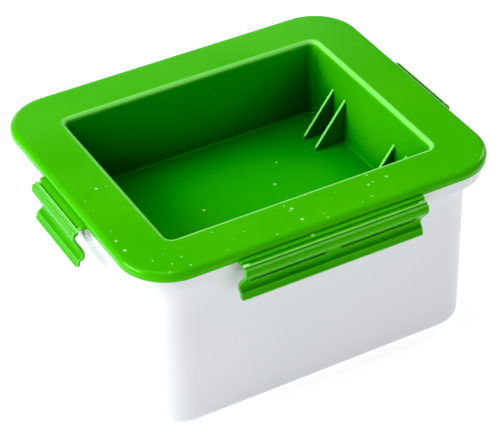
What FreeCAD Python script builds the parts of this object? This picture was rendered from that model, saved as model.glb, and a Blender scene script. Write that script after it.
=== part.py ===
import FreeCAD, Part

# Cheese mold: a container that catches the whey, a slotted basket for the curd, a lid with a deep
# press well, a sealing ring and four snap latches on film hinges.
# Frame: millimetres, +Z up, origin at the centre of the container's base, front latch towards -Y,
# long side along X.

import math
import os

os.makedirs("parts", exist_ok=True)

# ---- driving dimensions -------------------------------------------------------------------------
HEIGHT = 103.0          # lid top above the table
LID_HX = 100.5          # half length of the lid
LID_HY = 84.2           # half width of the lid
LID_R = 26.0            # plan corner radius of the lid
LID_EDGE_R = 3.0        # rounding of the lid's top edge
SKIRT_DEPTH = 4.6       # skirt height
SKIRT_T = 1.8           # skirt thickness
PLATE_T = 2.2           # lid plate thickness

WELL_HX = 73.5          # half length of the well just under its rounded edge
WELL_HY = 57.5
WELL_R = 3.6
WELL_DEPTH = 44.5
WELL_TAPER = 1.2        # each wall leans in by this much over the depth
WELL_T = 2.0            # well wall thickness
WELL_FLOOR_T = 2.2
WELL_EDGE_R = 3.0       # rounding of the opening's edge
WELL_FOOT_R = 1.2       # rounding where the walls meet the floor

GUSSET_Y = (-36.0, -24.0, 24.0, 36.0)
GUSSET_H = 25.5
GUSSET_FOOT = 18.0
GUSSET_T = 1.6

RIB_OUT = -6.5          # inner rib of the sealing channel, from the lid's outer edge
RIB_T = 1.5
RIB_DEPTH = 6.4
RING_OUT = -2.1         # sealing ring, outer and inner edge
RING_IN = -6.2
RING_DEPTH = 3.6        # underside of the ring

RIM_OUT = -2.2          # container rim, from the lid's outer edge
RIM_DEPTH = 3.65        # rim top
BAND_DEPTH = 12.0       # lower end of the vertical band
FLARE_DEPTH = 16.0      # where the flare meets the body wall
BODY_OUT = -9.3
BODY_R = 20.0
DRAFT = 0.6             # body wall leans in by this much down to the base
WALL_T = 2.0
BASE_T = 2.0
BASE_EDGE_R = 3.0

CATCH_TIP = -2.3        # catch ledges under the flare
CATCH_TOP = 16.4
CATCH_BOTTOM = 18.2
CATCH_RIB_T = 1.5

LAND_OUT = 2.2          # hinge land on the skirt
LAND_ROOT = 3.9         # depth of the land's top at the skirt
LAND_TOP = 4.4          # and at its outer end
LAND_BOTTOM = 6.2
AXIS_OUT = 3.2          # film hinge axis
AXIS_DEPTH = 5.65
FILM_T = 0.5
LATCH_START = 4.2
LATCH_TOP = 5.2
LATCH_T = 1.5
LATCH_DROP = 27.1       # depth of the lip's end
LONG_LATCH = 101.2
SHORT_LATCH = 47.0
LONG_SLOT = 42.5
LONG_BRIDGE = 7.0
SHORT_SLOT = 16.0
SHORT_BRIDGE = 7.0
SLOT_TOP = 13.3
SLOT_BOTTOM = 19.0
SLOT_R = 1.2
HOOK_TIP = -1.9
HOOK_T = 1.5
LEFT_OPEN = 12.0        # the left latch stands open by this angle

BASKET_HX = 76.0        # basket inside, half size at the top
BASKET_HY = 60.2
BASKET_R = 8.0
BASKET_TAPER = 1.8
BASKET_T = 1.6
BASKET_TOP = 94.0
BASKET_FLANGE = 3.0
BASKET_FLOOR = 9.05     # underside of the basket's floor
BASKET_FLOOR_T = 2.0
FOOT_GAP = 0.05
DRAIN_W = 2.2

# Latch section, as (out from the lid's edge, depth under the lid top). The neck runs from the film
# hinge down into the groove behind the shoulder; the outer face runs from the shoulder ridge down to
# the lip's ridge, and the lip down to its end; the knee is the inner side of the neck
LATCH_NECK = (
    (4.6, 5.35),
    (4.95, 6.85),
)
LATCH_KNEE = (
    (3.6, 7.6),
    (3.6, 6.8),
    (LATCH_START, 5.95),
)
LATCH_FACE = (
    (5.95, 6.6),
    (6.35, 7.6),
    (6.4, 9.4),
    (6.05, 11.0),
    (5.0, 12.7),
    (3.7, 14.3),
    (2.2, 16.1),
    (0.9, 17.9),
    (0.0, 19.5),
    (-0.35, 21.0),
    (0.3, 22.2),
    (1.5, 23.1),
)
LATCH_LIP = (
    (1.5, 23.1),
    (1.65, 24.6),
    (1.85, 26.0),
    (2.5, LATCH_DROP),
)
RIDGE_R = 0.5

V = FreeCAD.Vector


# ---- helpers ------------------------------------------------------------------------------------
def rounded_wire(hx, hy, r, z):
    """Closed rounded rectangle of half sizes hx, hy and corner radius r at height z."""
    k = r * (1.0 - math.sqrt(0.5))
    a, b = hx - r, hy - r
    sides = (
        (V(-a, -hy, z), V(a, -hy, z), V(hx - k, -hy + k, z), V(hx, -b, z)),
        (V(hx, -b, z), V(hx, b, z), V(hx - k, hy - k, z), V(a, hy, z)),
        (V(a, hy, z), V(-a, hy, z), V(-hx + k, hy - k, z), V(-hx, b, z)),
        (V(-hx, b, z), V(-hx, -b, z), V(-hx + k, -hy + k, z), V(-a, -hy, z)),
    )
    edges = []
    for start, end, mid, after in sides:
        edges.append(Part.makeLine(start, end))
        edges.append(Part.Arc(end, mid, after).toShape())
    return Part.Wire(edges)


def loft(sections):
    """Solid through rounded rectangles, each (hx, hy, r, z)."""
    wires = [rounded_wire(*s) for s in sections]
    return Part.makeLoft(wires, True, True)


def prism(hx, hy, r, z0, z1):
    face = Part.Face(rounded_wire(hx, hy, r, z0))
    return face.extrude(V(0, 0, z1 - z0))


def box(x0, x1, y0, y1, z0, z1):
    return Part.makeBox(x1 - x0, y1 - y0, z1 - z0, V(x0, y0, z0))


def edges_near(shape, z, hx, hy):
    """Edges that lie at height z on the rounded rectangle of half sizes hx, hy."""
    found = []
    for e in shape.Edges:
        b = e.BoundBox
        flat = abs(b.ZMin - z) < 1e-3 and abs(b.ZMax - z) < 1e-3
        reach_x = max(abs(b.XMin), abs(b.XMax))
        reach_y = max(abs(b.YMin), abs(b.YMax))
        on_x = abs(reach_x - hx) < 0.05
        on_y = abs(reach_y - hy) < 0.05
        inside = reach_x < hx + 0.05 and reach_y < hy + 0.05
        if flat and inside and (on_x or on_y):
            found.append(e)
    return found


def to_side(shape, side):
    """Moves a shape built at the lid's edge (outward is -Y, lid top is z = 0) to one of the four sides."""
    turn = {"front": 0.0, "right": 90.0, "back": 180.0, "left": -90.0}[side]
    reach = LID_HY if side in ("front", "back") else LID_HX
    placed = shape.copy()
    placed.translate(V(0, -reach, HEIGHT))
    placed.rotate(V(0, 0, 0), V(0, 0, 1), turn)
    return placed


def side_prism(points, x0, x1):
    """Extrudes an (out, depth) polygon along the lid's edge from x0 to x1."""
    pts = [V(x0, -out, -depth) for out, depth in points]
    face = Part.Face(Part.makePolygon(pts + [pts[0]]))
    return face.extrude(V(x1 - x0, 0, 0))


def single(shape):
    """The one solid of a shape."""
    solid = shape.removeSplitter()
    if len(solid.Solids) == 1:
        return solid.Solids[0]
    return solid


def save(shape, node):
    shape.exportStep("parts/" + node + ".step")
    print(node, "solids", len(shape.Solids), "valid", shape.isValid(), "mm3", round(shape.Volume))


# ---- lid ----------------------------------------------------------------------------------------
def make_lid():
    top = HEIGHT
    body = prism(LID_HX, LID_HY, LID_R, top - SKIRT_DEPTH, top)
    body = body.makeFillet(LID_EDGE_R, edges_near(body, top, LID_HX, LID_HY))
    inner_hx = LID_HX - SKIRT_T
    inner_hy = LID_HY - SKIRT_T
    body = body.cut(prism(inner_hx, inner_hy, LID_R - SKIRT_T, top - SKIRT_DEPTH - 1.0, top - PLATE_T))

    rib = prism(LID_HX + RIB_OUT, LID_HY + RIB_OUT, LID_R + RIB_OUT, top - RIB_DEPTH, top - PLATE_T + 0.2)
    rib_in = RIB_OUT - RIB_T
    rib_hole = prism(LID_HX + rib_in, LID_HY + rib_in, LID_R + rib_in, top - RIB_DEPTH - 1.0, top)
    body = body.fuse(rib.cut(rib_hole))

    floor = top - WELL_DEPTH
    low_hx = WELL_HX - WELL_TAPER
    low_hy = WELL_HY - WELL_TAPER
    shell = loft((
        (low_hx + WELL_T, low_hy + WELL_T, WELL_R + 1.4, floor - WELL_FLOOR_T),
        (WELL_HX + WELL_T, WELL_HY + WELL_T, WELL_R + 2.0, top - 0.5 * PLATE_T),
    ))
    body = body.fuse(shell)

    hollow = loft((
        (low_hx, low_hy, WELL_R - 0.6, floor),
        (WELL_HX, WELL_HY, WELL_R, top),
    ))
    hollow = hollow.makeFillet(WELL_FOOT_R, edges_near(hollow, floor, low_hx, low_hy))
    body = body.cut(hollow)
    body = body.makeFillet(WELL_EDGE_R, edges_near(body, top, WELL_HX, WELL_HY))

    gussets = []
    for y in GUSSET_Y:
        for sign in (-1.0, 1.0):
            foot = low_hx - GUSSET_FOOT
            lean = WELL_TAPER * GUSSET_H / WELL_DEPTH
            pts = [
                V(sign * (low_hx + 1.0), y - GUSSET_T / 2, floor - 0.5),
                V(sign * foot, y - GUSSET_T / 2, floor - 0.5),
                V(sign * foot, y - GUSSET_T / 2, floor + 0.6),
                V(sign * (low_hx + lean), y - GUSSET_T / 2, floor + GUSSET_H),
                V(sign * (low_hx + lean + 1.0), y - GUSSET_T / 2, floor + GUSSET_H),
            ]
            face = Part.Face(Part.makePolygon(pts + [pts[0]]))
            gussets.append(face.extrude(V(0, GUSSET_T, 0)))
    body = body.fuse(gussets)

    lands = []
    for side, length in SIDES:
        half = length / 2
        points = (
            (-SKIRT_T + 0.1, LAND_ROOT - 0.6),
            (-0.6, LAND_ROOT - 0.6),
            (0.0, LAND_ROOT),
            (0.9, LAND_ROOT + 0.1),
            (1.7, LAND_ROOT + 0.25),
            (LAND_OUT, LAND_TOP),
            (LAND_OUT, LAND_BOTTOM),
            (-SKIRT_T + 0.1, LAND_BOTTOM),
        )
        lands.append(to_side(side_prism(points, -half, half), side))
    body = body.fuse(lands)
    return single(body)


# ---- sealing ring -------------------------------------------------------------------------------
def make_gasket():
    z0 = HEIGHT - RING_DEPTH
    z1 = HEIGHT - PLATE_T
    outer = prism(LID_HX + RING_OUT, LID_HY + RING_OUT, LID_R + RING_OUT, z0, z1)
    inner = prism(LID_HX + RING_IN, LID_HY + RING_IN, LID_R + RING_IN, z0 - 1.0, z1 + 1.0)
    return single(outer.cut(inner))


# ---- latches and film hinges --------------------------------------------------------------------
def offset_line(points, distance):
    """Points moved sideways from the line's run by the given distance."""
    moved = []
    last = len(points) - 1
    for i, (out, depth) in enumerate(points):
        a = points[max(i - 1, 0)]
        b = points[min(i + 1, last)]
        run = math.hypot(b[0] - a[0], b[1] - a[1])
        moved.append((out - distance * (b[1] - a[1]) / run, depth + distance * (b[0] - a[0]) / run))
    return moved


def spline(points, x):
    curve = Part.BSplineCurve()
    curve.interpolate([V(x, -out, -depth) for out, depth in points])
    return curve.toShape()


def make_latch(length, slot, bridge):
    half = length / 2
    inside = offset_line(LATCH_FACE + LATCH_LIP[1:], LATCH_T)[2:]
    corners = (LATCH_KNEE[-1], (LATCH_START, LATCH_TOP)) + LATCH_NECK + (LATCH_FACE[0],)
    knee = (inside[0],) + LATCH_KNEE
    edges = []
    for run in (corners, knee):
        for a, b in zip(run, run[1:]):
            edges.append(Part.makeLine(V(-half, -a[0], -a[1]), V(-half, -b[0], -b[1])))
    end_out = V(-half, -LATCH_LIP[-1][0], -LATCH_LIP[-1][1])
    end_in = V(-half, -inside[-1][0], -inside[-1][1])
    edges.append(spline(LATCH_FACE, -half))
    edges.append(spline(LATCH_LIP, -half))
    edges.append(Part.makeLine(end_out, end_in))
    edges.append(spline(inside, -half))
    wire = Part.Wire(Part.__sortEdges__(edges))
    plate = Part.Face(wire).extrude(V(length, 0, 0))
    rounded = []
    for out, depth in (LATCH_FACE[0], LATCH_LIP[0], LATCH_LIP[-1]):
        for e in plate.Edges:
            b = e.BoundBox
            full = abs(b.XMax - b.XMin - length) < 1e-3
            if full and abs(b.YMin + out) < 0.01 and abs(b.ZMin + depth) < 0.01:
                rounded.append(e)
    plate = plate.makeFillet(RIDGE_R, rounded)

    hook = side_prism((
        (HOOK_TIP, SLOT_BOTTOM),
        (-0.6, SLOT_BOTTOM),
        (-0.9, SLOT_BOTTOM + HOOK_T),
        (HOOK_TIP, SLOT_BOTTOM + HOOK_T),
    ), -half + 3.0, half - 3.0)
    latch = plate.fuse(hook)

    cuts = []
    for sign in (-1.0, 1.0):
        c = sign * (bridge + slot) / 2
        window = box(c - slot / 2, c + slot / 2, -12.0, 4.0, -SLOT_BOTTOM, -SLOT_TOP)
        corners = []
        for e in window.Edges:
            b = e.BoundBox
            if b.YMax - b.YMin > 15.0:
                corners.append(e)
        cuts.append(window.makeFillet(SLOT_R, corners))
    latch = latch.cut(cuts)

    low = -LATCH_DROP
    corner = 0.8
    k = corner * (1.0 - math.sqrt(0.5))
    far = -20.0
    left_up = V(-half, far, low + corner)
    left_mid = V(-half + k, far, low + k)
    left_low = V(-half + corner, far, low)
    right_low = V(half - corner, far, low)
    right_mid = V(half - k, far, low + k)
    right_up = V(half, far, low + corner)
    outline = Part.Wire([
        Part.makeLine(V(-half, far, 5.0), left_up),
        Part.Arc(left_up, left_mid, left_low).toShape(),
        Part.makeLine(left_low, right_low),
        Part.Arc(right_low, right_mid, right_up).toShape(),
        Part.makeLine(right_up, V(half, far, 5.0)),
        Part.makeLine(V(half, far, 5.0), V(-half, far, 5.0)),
    ])
    latch = latch.common(Part.Face(outline).extrude(V(0, 40.0, 0)))
    return single(latch)


def make_film(length):
    half = length / 2
    points = (
        (LAND_OUT, AXIS_DEPTH - FILM_T / 2),
        (LATCH_START, AXIS_DEPTH - FILM_T / 2),
        (LATCH_START, AXIS_DEPTH + FILM_T / 2),
        (LAND_OUT, AXIS_DEPTH + FILM_T / 2),
    )
    return side_prism(points, -half, half)


# ---- container ----------------------------------------------------------------------------------
def make_container():
    rim = HEIGHT - RIM_DEPTH
    band = HEIGHT - BAND_DEPTH
    flare = HEIGHT - FLARE_DEPTH
    base_out = BODY_OUT - DRAFT
    steep = (FLARE_DEPTH - BAND_DEPTH) / (RIM_OUT - BODY_OUT)
    lift = WALL_T * math.sqrt(1.0 + steep * steep)
    band_in = band + lift - steep * WALL_T
    flare_in = flare + lift - steep * WALL_T
    outer = loft((
        (LID_HX + base_out, LID_HY + base_out, BODY_R, 0.0),
        (LID_HX + BODY_OUT, LID_HY + BODY_OUT, BODY_R, flare),
        (LID_HX + RIM_OUT, LID_HY + RIM_OUT, LID_R + RIM_OUT, band),
        (LID_HX + RIM_OUT, LID_HY + RIM_OUT, LID_R + RIM_OUT, rim),
    ))
    outer = outer.makeFillet(BASE_EDGE_R, edges_near(outer, 0.0, LID_HX + base_out, LID_HY + base_out))
    inner = loft((
        (LID_HX + base_out - WALL_T, LID_HY + base_out - WALL_T, BODY_R - WALL_T, BASE_T),
        (LID_HX + BODY_OUT - WALL_T, LID_HY + BODY_OUT - WALL_T, BODY_R - WALL_T, flare_in),
        (LID_HX + RIM_OUT - WALL_T, LID_HY + RIM_OUT - WALL_T, LID_R + RIM_OUT - WALL_T, band_in),
        (LID_HX + RIM_OUT - WALL_T, LID_HY + RIM_OUT - WALL_T, LID_R + RIM_OUT - WALL_T, rim + 2.0),
    ))
    inner_edges = edges_near(inner, BASE_T, LID_HX + base_out - WALL_T, LID_HY + base_out - WALL_T)
    inner = inner.makeFillet(BASE_EDGE_R - 1.0, inner_edges)

    catches = []
    root = BODY_OUT - 1.0
    front_edge = CATCH_TIP - 0.3
    meet = BAND_DEPTH + (RIM_OUT - front_edge) * steep
    meet_root = BAND_DEPTH + (RIM_OUT - root) * steep
    for side, length in SIDES:
        slot = LONG_SLOT if length == LONG_LATCH else SHORT_SLOT
        bridge = LONG_BRIDGE if length == LONG_LATCH else SHORT_BRIDGE
        span = slot - 4.0
        ribs = 4 if length == LONG_LATCH else 3
        for sign in (-1.0, 1.0):
            c = sign * (bridge + slot) / 2
            ledge = side_prism((
                (CATCH_TIP, CATCH_TOP + 0.5),
                (CATCH_TIP - 0.6, CATCH_TOP),
                (root, CATCH_TOP),
                (root, CATCH_BOTTOM),
                (CATCH_TIP, CATCH_BOTTOM),
            ), c - span / 2, c + span / 2)
            catches.append(to_side(ledge, side))
            for i in range(ribs):
                x = c - span / 2 + (span - CATCH_RIB_T) * i / (ribs - 1)
                rib = side_prism((
                    (front_edge, CATCH_TOP + 0.3),
                    (front_edge, meet - 0.6),
                    (root, meet_root - 0.6),
                    (root, CATCH_TOP + 0.3),
                ), x, x + CATCH_RIB_T)
                catches.append(to_side(rib, side))
    solid = outer.fuse(catches)
    return single(solid.cut(inner))


# ---- strainer basket ----------------------------------------------------------------------------
def make_basket():
    z0 = BASKET_FLOOR
    z1 = BASKET_TOP
    low_hx = BASKET_HX - BASKET_TAPER
    low_hy = BASKET_HY - BASKET_TAPER
    t = BASKET_T
    outer = loft((
        (low_hx + t, low_hy + t, BASKET_R, z0),
        (BASKET_HX + t, BASKET_HY + t, BASKET_R + t, z1),
    ))
    outer = outer.makeFillet(2.0, edges_near(outer, z0, low_hx + t, low_hy + t))
    flange_hx = BASKET_HX + t + BASKET_FLANGE
    flange_hy = BASKET_HY + t + BASKET_FLANGE
    flange = prism(flange_hx, flange_hy, BASKET_R + t + BASKET_FLANGE, z1 - 2.0, z1)
    body = outer.fuse(flange)
    feet = []
    for sx in (-1.0, 1.0):
        for sy in (-1.0, 1.0):
            place = V(sx * (low_hx - 10.0), sy * (low_hy - 10.0), BASE_T + FOOT_GAP)
            feet.append(Part.makeCylinder(6.0, z0 + 0.5 - BASE_T - FOOT_GAP, place))
    body = body.fuse(feet)
    hollow = loft((
        (low_hx, low_hy, BASKET_R - t, z0 + BASKET_FLOOR_T),
        (BASKET_HX, BASKET_HY, BASKET_R, z1 + 0.001),
    ))
    body = body.cut(hollow)

    cuts = []
    columns = 4
    rows = 13
    slot_x = 28.0
    for i in range(columns):
        x = (i - (columns - 1) / 2) * (slot_x + 6.0)
        for j in range(rows):
            y = (j - (rows - 1) / 2) * 8.0
            if abs(x) > 40.0 and abs(y) > 41.0:
                continue
            y0 = y - DRAIN_W / 2
            cuts.append(box(x - slot_x / 2, x + slot_x / 2, y0, y0 + DRAIN_W, z0 - 2.0, z0 + 3.0))
    for level in (16.0, 52.0):
        high = level + 30.0
        for i in range(15):
            x = (i - 7) * 9.0
            cuts.append(box(x - DRAIN_W / 2, x + DRAIN_W / 2, -low_hy - 8.0, low_hy + 8.0, level, high))
        for i in range(11):
            y = (i - 5) * 9.0
            cuts.append(box(-low_hx - 8.0, low_hx + 8.0, y - DRAIN_W / 2, y + DRAIN_W / 2, level, high))
    body = body.cut(cuts)
    return single(body)


# ---- build --------------------------------------------------------------------------------------
SIDES = (("front", LONG_LATCH), ("back", LONG_LATCH), ("left", SHORT_LATCH), ("right", SHORT_LATCH))

save(make_container(), "container")
save(make_basket(), "strainer_basket")
save(make_lid(), "lid")
save(make_gasket(), "gasket")
for side, length in SIDES:
    slot = LONG_SLOT if length == LONG_LATCH else SHORT_SLOT
    bridge = LONG_BRIDGE if length == LONG_LATCH else SHORT_BRIDGE
    latch = make_latch(length, slot, bridge)
    film = make_film(length)
    if side == "left":
        latch.rotate(V(0, -AXIS_OUT, -AXIS_DEPTH), V(-1, 0, 0), LEFT_OPEN)
        latch = single(latch.cut(film))
    save(to_side(latch, side), side + "_latch")
    save(to_side(film, side), side + "_hinge")
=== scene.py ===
import math

import bpy
from mathutils import Matrix, Vector


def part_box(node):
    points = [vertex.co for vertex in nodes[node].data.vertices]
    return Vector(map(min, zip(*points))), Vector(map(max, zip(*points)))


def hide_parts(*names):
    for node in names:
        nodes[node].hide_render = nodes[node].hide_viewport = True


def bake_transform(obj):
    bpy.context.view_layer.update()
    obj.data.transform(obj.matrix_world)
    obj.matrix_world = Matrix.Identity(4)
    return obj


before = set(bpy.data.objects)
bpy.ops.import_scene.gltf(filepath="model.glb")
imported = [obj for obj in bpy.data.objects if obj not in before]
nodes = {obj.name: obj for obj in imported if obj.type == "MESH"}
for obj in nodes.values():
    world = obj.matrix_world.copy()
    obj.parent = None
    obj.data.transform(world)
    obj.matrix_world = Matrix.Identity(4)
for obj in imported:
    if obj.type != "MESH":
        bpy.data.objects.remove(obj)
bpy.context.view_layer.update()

LID_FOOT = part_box("lid")[0].z
LID_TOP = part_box("lid")[1].z
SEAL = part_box("gasket")[1]

# Colours are linear RGB and lengths are metres.
GREEN_A = (0.042, 0.440, 0.0003)
GREEN_B = (0.056, 0.480, 0.0005)
GREEN_C = (0.022, 0.360, 0.0003)
# The next colour is painted shade for the well's sheltered corners and floor.
GREEN_PAINTED_SHADE = (0.0015, 0.190, 0.0004)
GREEN_FLOOR = (0.012, 0.420, 0.0003)
# The next colour is a painted highlight on the well's rounded edges.
GREEN_PAINTED_HIGHLIGHT = (0.240, 0.820, 0.150)
# The next colour is painted shade, mixed over the whole of each latch.
LATCH_PAINTED_SHADE = (0.010, 0.150, 0.0003)
# The next colour is a painted highlight on the latches' sharp edges that face up.
LATCH_PAINTED_HIGHLIGHT = (0.30, 0.92, 0.20)
SPECK = (0.30, 0.85, 0.20)
GLEAM = (0.45, 1.0, 0.20)
WHITE_A = (0.775, 0.795, 0.825)
WHITE_B = (0.80, 0.815, 0.845)
NATURAL_A = (0.84, 0.85, 0.82)
NATURAL_B = (0.88, 0.89, 0.87)
SCUFF_GREY = (0.62, 0.63, 0.64)
SEAL_A = (0.78, 0.80, 0.79)
SEAL_B = (0.86, 0.87, 0.85)
SEAL_DUST = (0.6, 0.6, 0.58)
TABLE_A = (0.50, 0.50, 0.50)
TABLE_B = (0.53, 0.53, 0.53)

# The lid: the opening of the well lies this far inside the seal, its floor this near the lid's foot,
# and the painted shade in the well's corners reaches over WELL_REACH.
WELL_INSET = 0.010
WELL_FLOOR = 0.0040
WELL_REACH = 0.055
# How far from the latches' sharp edges their painted highlight reaches.
LATCH_ARRIS = 0.0010

# Dried drops, in two sizes of cell: cells per metre, extra share left bare, and the smallest and
# largest drop as parts of a cell.
DROPS = ((95.0, 0.0, 0.055, 0.125), (150.0, 0.09, 0.05, 0.11))


# ---- material helpers ---------------------------------------------------------------------------
class Mat:
    """A node material with a few shorthands."""

    def __init__(self, name):
        self.m = bpy.data.materials.new(name)
        self.m.use_nodes = True
        self.t = self.m.node_tree
        self.b = self.t.nodes["Principled BSDF"]
        self.at = self.new("ShaderNodeTexCoord").outputs["Object"]

    def new(self, kind, **props):
        n = self.t.nodes.new(kind)
        for k, v in props.items():
            setattr(n, k, v)
        return n

    def put(self, value, socket):
        """Link a socket, or set a value; a colour may leave out its alpha."""
        if isinstance(value, bpy.types.NodeSocket):
            self.t.links.new(value, socket)
            return
        size = len(socket.default_value) if hasattr(socket.default_value, "__len__") else 1
        if size == 4 and len(value) == 3:
            value = (*value, 1.0)
        socket.default_value = value

    def set(self, **inputs):
        for k, v in inputs.items():
            self.put(v, self.b.inputs[k.replace("_", " ")])

    def math(self, op, a, b=0.0, c=None):
        n = self.new("ShaderNodeMath", operation=op)
        self.put(a, n.inputs[0])
        self.put(b, n.inputs[1])
        if c is not None:
            self.put(c, n.inputs[2])
        return n.outputs[0]

    def noise(self, scale, detail=2.0, rough=0.5, stretch=None, turn=(0, 0, 0)):
        at = self.at
        if stretch:
            mp = self.new("ShaderNodeMapping")
            mp.inputs["Scale"].default_value = stretch
            mp.inputs["Rotation"].default_value = turn
            self.put(at, mp.inputs["Vector"])
            at = mp.outputs[0]
        n = self.new("ShaderNodeTexNoise", noise_dimensions="3D")
        self.put(at, n.inputs["Vector"])
        n.inputs["Scale"].default_value = scale
        n.inputs["Detail"].default_value = detail
        n.inputs["Roughness"].default_value = rough
        return n.outputs["Fac"]

    def ramp(self, fac, lo, hi, a=0.0, b=1.0):
        """From a at lo to b at hi, smoothly."""
        n = self.new("ShaderNodeMapRange", interpolation_type="SMOOTHSTEP")
        self.put(fac, n.inputs["Value"])
        for k, v in (("From Min", lo), ("From Max", hi), ("To Min", a), ("To Max", b)):
            self.put(v, n.inputs[k])
        return n.outputs[0]

    def mix(self, fac, a, b):
        n = self.new("ShaderNodeMix", data_type="RGBA")
        self.put(fac, n.inputs[0])
        self.put(a, n.inputs[6])
        self.put(b, n.inputs[7])
        return n.outputs[2]

    def bump(self, height, distance, strength, over=None):
        n = self.new("ShaderNodeBump")
        self.put(height, n.inputs["Height"])
        n.inputs["Distance"].default_value = distance
        n.inputs["Strength"].default_value = strength
        if over is not None:
            self.put(over, n.inputs["Normal"])
        return n.outputs[0]

    def normal_z(self):
        g = self.new("ShaderNodeNewGeometry")
        s = self.new("ShaderNodeSeparateXYZ")
        self.put(g.outputs["Normal"], s.inputs[0])
        return s.outputs[2]

    def up_facing(self):
        """1 on faces that look up, 0 on walls."""
        return self.ramp(self.normal_z(), 0.9, 0.985)

    def openness(self, reach):
        """Low in a sheltered corner, 1 on open ground."""
        n = self.new("ShaderNodeAmbientOcclusion", samples=8, only_local=True)
        n.inputs["Distance"].default_value = reach
        return n.outputs["AO"]

    def arris(self, radius, lo, hi):
        """1 along sharp edges, 0 on faces."""
        n = self.new("ShaderNodeBevel", samples=6)
        n.inputs["Radius"].default_value = radius
        g = self.new("ShaderNodeNewGeometry")
        d = self.new("ShaderNodeVectorMath", operation="DOT_PRODUCT")
        self.put(n.outputs["Normal"], d.inputs[0])
        self.put(g.outputs["Normal"], d.inputs[1])
        return self.ramp(self.math("SUBTRACT", 1.0, d.outputs["Value"]), lo, hi)


# ---- materials ----------------------------------------------------------------------------------
def well_shade_and_highlight(m, at, color):
    """Purer green on the well's floor, painted shade in its sheltered corners, and a painted
    highlight on its rounded edges.
    """
    inner_x = m.math("LESS_THAN", m.math("ABSOLUTE", at.outputs[0]), SEAL.x - WELL_INSET)
    inner_y = m.math("LESS_THAN", m.math("ABSOLUTE", at.outputs[1]), SEAL.y - WELL_INSET)
    z = m.normal_z()
    # Painted highlight: a lighter green on the well's rounded edges, inside the opening and above
    # its floor.
    well_edge_highlight = m.math("MULTIPLY", m.ramp(z, 0.37, 0.66), m.ramp(z, 0.960, 0.998, 1.0, 0.0))
    above_foot = m.math("GREATER_THAN", at.outputs[2], LID_FOOT + WELL_FLOOR)
    well_edge_highlight = m.math("MULTIPLY", m.math("MULTIPLY", inner_x, inner_y), well_edge_highlight)
    well_edge_highlight = m.math("MULTIPLY", well_edge_highlight, above_foot)
    on_floor = m.math("MULTIPLY", m.math("SUBTRACT", 1.0, above_foot), 0.75)
    # Painted shade: the floor and the walls turn a deeper green where the well's corners shelter
    # them.
    sky = m.openness(WELL_REACH)
    floor_tone = m.mix(m.ramp(sky, 0.50, 0.98), GREEN_PAINTED_SHADE, GREEN_FLOOR)
    color = m.mix(on_floor, color, floor_tone)
    color = m.mix(m.ramp(sky, 0.42, 0.76), GREEN_PAINTED_SHADE, color)
    return m.mix(m.math("MULTIPLY", well_edge_highlight, 0.85), color, GREEN_PAINTED_HIGHLIGHT)


def dried_drops(m, at, color, rough, normal):
    """Small glossy drops on the faces that look up, most of them to the lid's front left."""
    up = m.up_facing()
    across = m.math("MULTIPLY_ADD", at.outputs[0], 0.45, at.outputs[1])
    bare = m.ramp(across, -0.105, 0.015, 0.70, 0.965)
    for scale, extra, small, big in DROPS:
        cell = m.new("ShaderNodeTexVoronoi", voronoi_dimensions="2D", feature="F1")
        m.put(m.at, cell.inputs["Vector"])
        cell.inputs["Scale"].default_value = scale
        chance = m.new("ShaderNodeSeparateColor")
        m.put(cell.outputs["Color"], chance.inputs[0])
        keep = m.math("GREATER_THAN", chance.outputs[0], m.math("ADD", bare, extra))
        keep = m.math("MULTIPLY", keep, up)
        size = m.math("MULTIPLY_ADD", chance.outputs[1], big - small, small)
        near = m.math("DIVIDE", cell.outputs["Distance"], size)
        dome = m.math("MULTIPLY", m.ramp(near, 0.55, 1.0, 1.0, 0.0), keep)
        color = m.mix(m.math("MULTIPLY", dome, 0.85), color, SPECK)
        rough = m.math("SUBTRACT", rough, m.math("MULTIPLY", dome, 0.08))
        normal = m.bump(dome, 0.00015, 0.6, normal)
    return color, rough, normal


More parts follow.
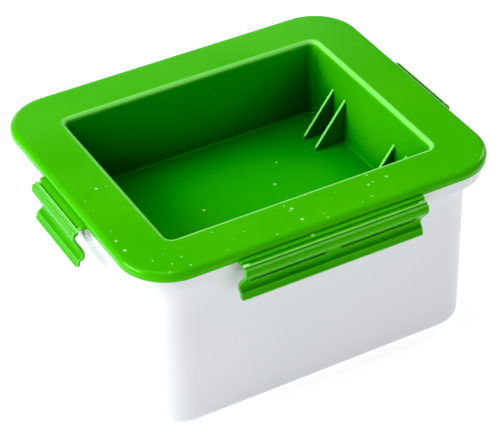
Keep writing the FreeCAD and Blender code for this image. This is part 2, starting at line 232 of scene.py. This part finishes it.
def green_plastic(name, is_lid):
    """Gloss moulded polypropylene: flow marks, orange peel and hairline scuffs.

    The lid has the well's painted shade, painted highlights and purer floor green, and dried drops
    as well; the latches have painted shade all over and painted highlights on their sharp edges.
    """
    m = Mat(name)
    flow = m.noise(14.0, detail=3.0, rough=0.55)
    fine = m.noise(700.0, detail=2.0, rough=0.5)
    peel = m.noise(240.0, detail=1.5, rough=0.4)
    color = m.mix(m.ramp(flow, 0.3, 0.7), GREEN_A, GREEN_B)
    color = m.mix(m.math("MULTIPLY", m.ramp(fine, 0.35, 0.65), 0.10), color, GREEN_C)
    hair_a = m.noise(1.0, stretch=(60.0, 2600.0, 60.0), turn=(0, 0, math.radians(24)))
    hair_b = m.noise(1.0, stretch=(2400.0, 50.0, 50.0), turn=(0, 0, math.radians(-9)))
    area = m.ramp(m.noise(38.0), 0.52, 0.7)
    hair = m.math("MAXIMUM", m.ramp(hair_a, 0.70, 0.74), m.ramp(hair_b, 0.71, 0.75))
    hair = m.math("MULTIPLY", hair, area)
    rough = m.math("ADD", m.math("MULTIPLY", m.ramp(flow, 0.25, 0.75), 0.08), 0.17)
    rough = m.math("ADD", rough, m.math("MULTIPLY", hair, 0.25))
    normal = m.bump(peel, 0.00006, 0.5)
    normal = m.bump(fine, 0.00002, 0.4, normal)
    normal = m.bump(m.math("MULTIPLY", hair, -1.0), 0.00002, 0.6, normal)
    if is_lid:
        at = m.new("ShaderNodeSeparateXYZ")
        m.put(m.at, at.inputs[0])
        color = well_shade_and_highlight(m, at, color)
        color, rough, normal = dried_drops(m, at, color, rough, normal)
    else:
        # Painted highlight: a lighter green along the latch's sharp edges, mostly on those that face
        # up.
        arris = m.arris(LATCH_ARRIS, 0.008, 0.07)
        edge = m.math("MULTIPLY", arris, m.ramp(m.normal_z(), -0.15, 0.35, 0.25, 1.0))
        # Painted shade over the whole latch.
        color = m.mix(0.20, color, LATCH_PAINTED_SHADE)
        color = m.mix(edge, color, LATCH_PAINTED_HIGHLIGHT)
    m.set(Base_Color=color, Roughness=rough, Normal=normal)
    m.set(Specular_IOR_Level=0.38 if is_lid else 0.12, Specular_Tint=GLEAM)
    m.set(Subsurface_Weight=0.04, Subsurface_Scale=0.002)
    m.b.inputs["Subsurface Radius"].default_value = (0.2, 1.0, 0.1)
    return m.m


def pale_plastic(name, tone_a, tone_b, base_rough, glow, scuff):
    """White or natural polypropylene: soft light inside, satin grain, fine draw marks and scuffs."""
    m = Mat(name)
    flow = m.noise(11.0, detail=3.0, rough=0.6)
    grain = m.noise(1500.0, detail=2.0, rough=0.6)
    wave = m.noise(90.0, detail=2.0, rough=0.4)
    draw = m.noise(1.0, detail=3.0, rough=0.6, stretch=(900.0, 900.0, 14.0))
    color = m.mix(m.ramp(flow, 0.3, 0.7), tone_a, tone_b)
    marks = m.math("MULTIPLY", m.ramp(draw, 0.62, 0.72), scuff)
    color = m.mix(m.math("MULTIPLY", marks, 0.12), color, SCUFF_GREY)
    rough = m.math("MULTIPLY_ADD", m.ramp(grain, 0.3, 0.7), 0.08, base_rough)
    rough = m.math("ADD", rough, m.math("MULTIPLY", marks, 0.12))
    normal = m.bump(wave, 0.00012, 0.35)
    normal = m.bump(grain, 0.00002, 0.5, normal)
    normal = m.bump(m.math("MULTIPLY", marks, -1.0), 0.00003, 0.4, normal)
    m.set(Base_Color=color, Roughness=rough, Normal=normal)
    m.set(Subsurface_Weight=glow, Subsurface_Scale=0.004)
    m.b.inputs["Subsurface Radius"].default_value = (1.0, 1.0, 0.9)
    return m.m


def silicone(name):
    """Milky silicone: soft clouds, a little dust and a satin surface."""
    m = Mat(name)
    cloud = m.noise(60.0, detail=3.0, rough=0.6)
    dust = m.noise(1900.0, detail=2.0, rough=0.6)
    color = m.mix(m.ramp(cloud, 0.3, 0.7), SEAL_A, SEAL_B)
    color = m.mix(m.math("MULTIPLY", m.ramp(dust, 0.62, 0.7), 0.25), color, SEAL_DUST)
    rough = m.math("MULTIPLY_ADD", m.ramp(dust, 0.3, 0.7), 0.15, 0.42)
    m.set(Base_Color=color, Roughness=rough, Normal=m.bump(dust, 0.00003, 0.5))
    m.set(Subsurface_Weight=0.35, Subsurface_Scale=0.003)
    return m.m


lid_green = green_plastic("green_plastic_lid", True)
latch_green = green_plastic("green_plastic_latch", False)
white = pale_plastic("white_plastic_container", WHITE_A, WHITE_B, 0.30, 0.10, 1.0)
natural = pale_plastic("natural_plastic_basket", NATURAL_A, NATURAL_B, 0.42, 0.25, 0.6)
seal = silicone("silicone_seal")

OUTWARD = {
    "front": Vector((0, -1, 0)),
    "back": Vector((0, 1, 0)),
    "left": Vector((-1, 0, 0)),
    "right": Vector((1, 0, 0)),
}
finish_of = {"container": white, "strainer_basket": natural, "lid": lid_green, "gasket": seal}
for side in OUTWARD:
    finish_of[side + "_latch"] = latch_green
    finish_of[side + "_hinge"] = latch_green
for name, o in nodes.items():
    for s in o.material_slots:
        s.link = "OBJECT"
        s.material = finish_of[name]


# ---- film hinges: a thin waisted strip in place of each CAD hinge -------------------------------
STRIP_STEPS = 16        # faces across the strip
STRIP_SPANS = 24        # faces along it
STRIP_WAIST = 0.62      # its thickness in the middle, as a part of the CAD hinge's
STRIP_LAP = 0.00035     # how far it runs into the lid's land and into the latch
STRIP_END_GAP = 0.0004  # how far it stops short of the CAD hinge's ends


def film_hinge(side):
    lo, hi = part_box(side + "_hinge")
    out = OUTWARD[side]
    run = Vector((0, 0, 1)).cross(out)
    mid = (lo + hi) / 2
    half_out = abs((hi - lo).dot(out)) / 2
    half_run = abs((hi - lo).dot(run)) / 2 - STRIP_END_GAP
    half_thick = (hi.z - lo.z) / 2
    reach = half_out + STRIP_LAP
    section = []
    for i in range(STRIP_STEPS + 1):
        u = 2.0 * i / STRIP_STEPS - 1.0
        section.append((u, half_thick * (STRIP_WAIST + (1.0 - STRIP_WAIST) * u ** 2)))
    section += [(u, -h) for u, h in reversed(section)]
    n = len(section)
    verts, faces = [], []
    for j in range(STRIP_SPANS + 1):
        along = run * (half_run * (2.0 * j / STRIP_SPANS - 1.0))
        verts += [mid + along + out * (u * reach) + Vector((0, 0, h)) for u, h in section]
    for j in range(STRIP_SPANS):
        for i in range(n):
            a, b = j * n + i, j * n + (i + 1) % n
            faces.append((a, b, b + n, a + n))
    faces.append(tuple(range(n - 1, -1, -1)))
    faces.append(tuple(STRIP_SPANS * n + i for i in range(n)))
    mesh = bpy.data.meshes.new(side + "_film_hinge")
    mesh.from_pydata(verts, [], faces)
    mesh.validate()
    mesh.update()
    for p in mesh.polygons:
        p.use_smooth = len(p.vertices) == 4
    o = bpy.data.objects.new(side + "_film_hinge", mesh)
    bpy.context.collection.objects.link(o)
    mesh.materials.append(latch_green)
    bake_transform(o)
    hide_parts(side + "_hinge")


for side in OUTWARD:
    film_hinge(side)

# ---- floor --------------------------------------------------------------------------------------
FLOOR_HALF = 8.0
FLOOR_GLOW = 0.72
corners = [(-FLOOR_HALF, -FLOOR_HALF, 0), (FLOOR_HALF, -FLOOR_HALF, 0),
           (FLOOR_HALF, FLOOR_HALF, 0), (-FLOOR_HALF, FLOOR_HALF, 0)]
mesh = bpy.data.meshes.new("floor")
mesh.from_pydata(corners, [], [(0, 1, 2, 3)])
floor = bpy.data.objects.new("floor", mesh)
bpy.context.collection.objects.link(floor)
table = Mat("pale_table")
dust = table.noise(30.0, detail=4.0)
table.set(Base_Color=table.mix(table.ramp(dust, 0.3, 0.7), TABLE_A, TABLE_B), Roughness=0.7)
table.set(Emission_Color=(1.0, 1.0, 1.0), Emission_Strength=FLOOR_GLOW)
mesh.materials.append(table.m)

# ---- light --------------------------------------------------------------------------------------
world = bpy.data.worlds.new("studio")
bpy.context.scene.world = world
world.use_nodes = True
world_inputs = world.node_tree.nodes["Background"].inputs
world_inputs["Color"].default_value = (0.95, 0.97, 1.0, 1)
world_inputs["Strength"].default_value = 0.16


def softbox(name, at, aim, size, power):
    data = bpy.data.lights.new(name, "AREA")
    data.shape = "RECTANGLE"
    data.size, data.size_y = size
    data.energy = power
    o = bpy.data.objects.new(name, data)
    bpy.context.collection.objects.link(o)
    o.location = at
    o.rotation_mode = "QUATERNION"
    o.rotation_quaternion = (Vector(at) - Vector(aim)).to_track_quat("Z", "Y")


MIDDLE = (0.0, 0.0, 0.06)
ABOVE = (0.0, 0.0, 0.20)
softbox("key_left", (-1.80, 0.52, 1.30), MIDDLE, (1.5, 1.2), 58.0)
softbox("top", (-0.3, 0.3, 2.35), MIDDLE, (1.4, 1.4), 17.0)
softbox("fill_front", (0.3, -2.6, 0.45), MIDDLE, (2.2, 0.8), 8.5)
softbox("fill_left", (-2.2, 0.0, 0.38), MIDDLE, (1.4, 0.5), 3.5)
softbox("rim_right", (2.1, 0.55, 1.15), MIDDLE, (1.0, 1.0), 14.0)
softbox("backdrop", (0.74, 2.8, 1.02), ABOVE, (2.0, 1.4), 10.0)

# ---- camera: the photo's direction, with a slight roll ------------------------------------------
AZ, EL, ROLL = math.radians(-28.41), math.radians(36.84), math.radians(-1.46)
AIM_DROP = 0.05435
DISTANCE = 1.098
NUDGE_RIGHT, NUDGE_UP = 0.00041, 0.0018
LENS_MM, SENSOR_MM = 154.2, 36.0
CLIP_START, CLIP_END = 0.05, 50.0
back = Vector((math.sin(AZ) * math.cos(EL), -math.cos(AZ) * math.cos(EL), math.sin(EL)))
right = Vector((math.cos(AZ), math.sin(AZ), 0.0))
up = back.cross(right)
cam_right = right * math.cos(ROLL) + up * math.sin(ROLL)
cam_up = up * math.cos(ROLL) - right * math.sin(ROLL)
aim = Vector((0.0, 0.0, LID_TOP - AIM_DROP))
place = aim + back * DISTANCE + cam_right * NUDGE_RIGHT + cam_up * NUDGE_UP
cam_data = bpy.data.cameras.new("camera")
cam_data.lens = LENS_MM
cam_data.sensor_width = SENSOR_MM
cam_data.clip_start = CLIP_START
cam_data.clip_end = CLIP_END
cam = bpy.data.objects.new("camera", cam_data)
bpy.context.collection.objects.link(cam)
cam.matrix_world = Matrix((
    (cam_right.x, cam_up.x, back.x, place.x),
    (cam_right.y, cam_up.y, back.y, place.y),
    (cam_right.z, cam_up.z, back.z, place.z),
    (0.0, 0.0, 0.0, 1.0),
))

# ---- view: plain transform, with the darkest tones set to black ---------------------------------
BLACK = 0.010
scene = bpy.context.scene
scene.camera = cam
scene.view_settings.view_transform = "Standard"
scene.view_settings.look = "None"
scene.view_settings.use_curve_mapping = True
scene.view_settings.curve_mapping.black_level = (BLACK, BLACK, BLACK)
scene.view_settings.curve_mapping.update()
